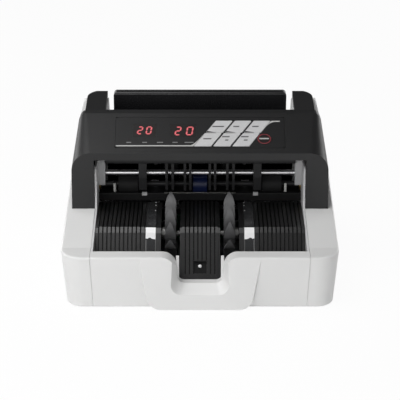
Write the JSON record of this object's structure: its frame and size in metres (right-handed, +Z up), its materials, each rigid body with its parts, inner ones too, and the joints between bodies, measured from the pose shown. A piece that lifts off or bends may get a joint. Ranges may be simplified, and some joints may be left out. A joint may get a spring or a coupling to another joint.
{
  "type": "banknote counting machine",
  "caption": "Desktop banknote counter with rear hopper, sloping key panel, feed rollers, bladed stacker wheels over a ribbed pocket, and a folding carry handle.",
  "frame": {"origin": "centre of the footprint on the table", "axes": "+X to the operator's right, +Y to the back, +Z up"},
  "size_m": [0.2868, 0.244, 0.1683],
  "materials": {
    "white_shell": "fine satin",
    "black_cover": "fine grain",
    "black_gloss": "gloss",
    "overlay": "satin film",
    "key_silver": "satin silver print",
    "key_ring": "satin",
    "display": "smoked",
    "frame_grey": "satin paint",
    "block_grey": "satin",
    "steel": "ground",
    "rubber": "matt",
    "blue_roller": "gloss",
    "black_inner": "fine grain",
    "clear": "clear moulding",
    "nylon": "satin",
    "board": "solder mask",
    "core": "varnished stampings",
    "motor": "plated",
    "brass": "turned",
    "base": "powder coat",
    "dark_steel": "black oxide",
    "zinc": "zinc plated"
  },
  "bodies": {
    "housing": {"base_plate": "base", "bearing_block_left": "block_grey", "bearing_block_right": "block_grey", "control_board": "board", "control_cover": "black_cover", "feed_belt": "rubber", "feed_motor": "motor", "front_panel": "white_shell", "handle_pins": "steel", "hopper_tray": "black_inner", "leaf_springs": "steel", "led_displays": "display", "lower_guide": "black_inner", "main_board": "board", "panel_overlay": "overlay", "power_inlet": "black_gloss", "power_switch": "black_gloss", "rear_housing": "white_shell", "rubber_feet": "rubber", "screws": "zinc", "sensor_posts": "nylon", "sensor_windows": "clear", "shaft_bushes": "brass", "side_cover_left": "white_shell", "side_cover_right": "white_shell", "side_frame_left": "frame_grey", "side_frame_right": "frame_grey", "stack_sensor": "display", "stacker_belt": "rubber", "stacker_motor": "motor", "stacker_plate": "black_inner", "transfer_belt": "rubber", "transformer": "core", "upper_guide": "black_inner"},
    "drive_rotor": {"drive_shaft": "dark_steel", "drum_rollers": "rubber", "centre_roller": "blue_roller", "drive_pulley": "black_inner", "transfer_pulley": "black_inner"},
    "pinch_rotor": {"pinch_shaft": "steel"},
    "pickup_rotor": {"pickup_shaft": "steel", "pickup_rollers": "rubber", "pickup_pulley": "black_inner"},
    "stacker_rotor": {"stacker_shaft": "steel", "stacker_wheel_left": "rubber", "stacker_wheel_right": "rubber", "wheel_collars": "zinc", "stacker_pulley": "black_inner"},
    "feed_motor_spindle": {"feed_motor_rotor": "steel"},
    "stacker_motor_spindle": {"stacker_motor_rotor": "steel"},
    "handle": {"carry_handle": "black_gloss"},
    "adjuster": {"gap_knob": "black_inner"},
    "rocker": {"switch_rocker": "black_gloss"},
    "button_reset": {"key_reset": "key_ring"},
    "button_lower_left": {"key_lower_left": "key_silver"},
    "button_lower_middle": {"key_lower_middle": "key_silver"},
    "button_lower_right": {"key_lower_right": "key_silver"},
    "button_upper_left": {"key_upper_left": "key_silver"},
    "button_upper_middle": {"key_upper_middle": "key_silver"},
    "button_upper_right": {"key_upper_right": "key_silver"}
  },
  "joints": [
    {"name": "drive_spin", "type": "hinge", "parent": "housing", "child": "drive_rotor", "pos_m": [0, 0.034, 0.08], "axis": [1, 0, 0], "continuous": true},
    {"name": "pinch_spin", "type": "hinge", "parent": "housing", "child": "pinch_rotor", "pos_m": [0, 0.031, 0.094], "axis": [1, 0, 0], "continuous": true},
    {"name": "pickup_spin", "type": "hinge", "parent": "housing", "child": "pickup_rotor", "pos_m": [0, 0.068, 0.095], "axis": [1, 0, 0], "continuous": true},
    {"name": "stacker_spin", "type": "hinge", "parent": "housing", "child": "stacker_rotor", "pos_m": [0, -0.036, 0.05], "axis": [1, 0, 0], "continuous": true},
    {"name": "feed_motor_spin", "type": "hinge", "parent": "housing", "child": "feed_motor_spindle", "pos_m": [0, 0.084, 0.034], "axis": [1, 0, 0], "continuous": true},
    {"name": "stacker_motor_spin", "type": "hinge", "parent": "housing", "child": "stacker_motor_spindle", "pos_m": [0, 0.01, 0.026], "axis": [1, 0, 0], "continuous": true},
    {"name": "handle_fold", "type": "hinge", "parent": "housing", "child": "handle", "pos_m": [0, 0.0965, 0.13], "axis": [-1, 0, 0], "range_deg": [0, 82]},
    {"name": "gap_adjust", "type": "hinge", "parent": "housing", "child": "adjuster", "pos_m": [0, 0.049, 0.141], "axis": [0, 1, 0], "range_deg": [-170, 170]},
    {"name": "power_rock", "type": "hinge", "parent": "housing", "child": "rocker", "pos_m": [-0.038, 0.1164, 0.034], "axis": [-1, 0, 0], "range_deg": [0, 18]},
    {"name": "press_lower_left", "type": "slide", "parent": "housing", "child": "button_lower_left", "axis": [0, 0.4505, -0.8928], "range_m": [0, 0.0006], "stiffness_N_per_m": 1500},
    {"name": "press_lower_middle", "type": "slide", "parent": "housing", "child": "button_lower_middle", "axis": [0, 0.4505, -0.8928], "range_m": [0, 0.0006], "stiffness_N_per_m": 1500},
    {"name": "press_lower_right", "type": "slide", "parent": "housing", "child": "button_lower_right", "axis": [0, 0.4505, -0.8928], "range_m": [0, 0.0006], "stiffness_N_per_m": 1500},
    {"name": "press_upper_left", "type": "slide", "parent": "housing", "child": "button_upper_left", "axis": [0, 0.4505, -0.8928], "range_m": [0, 0.0006], "stiffness_N_per_m": 1500},
    {"name": "press_upper_middle", "type": "slide", "parent": "housing", "child": "button_upper_middle", "axis": [0, 0.4505, -0.8928], "range_m": [0, 0.0006], "stiffness_N_per_m": 1500},
    {"name": "press_upper_right", "type": "slide", "parent": "housing", "child": "button_upper_right", "axis": [0, 0.4505, -0.8928], "range_m": [0, 0.0006], "stiffness_N_per_m": 1500},
    {"name": "press_reset", "type": "slide", "parent": "housing", "child": "button_reset", "axis": [0, 0.4505, -0.8928], "range_m": [0, 0.0006], "stiffness_N_per_m": 1500}
  ],
  "couplings": [
    {"joint": "pinch_spin", "follows": "drive_spin", "ratio": -3.6393},
    {"joint": "pickup_spin", "follows": "drive_spin", "ratio": 1},
    {"joint": "feed_motor_spin", "follows": "drive_spin", "ratio": 1.375},
    {"joint": "stacker_motor_spin", "follows": "stacker_spin", "ratio": 1.1875}
  ]
}
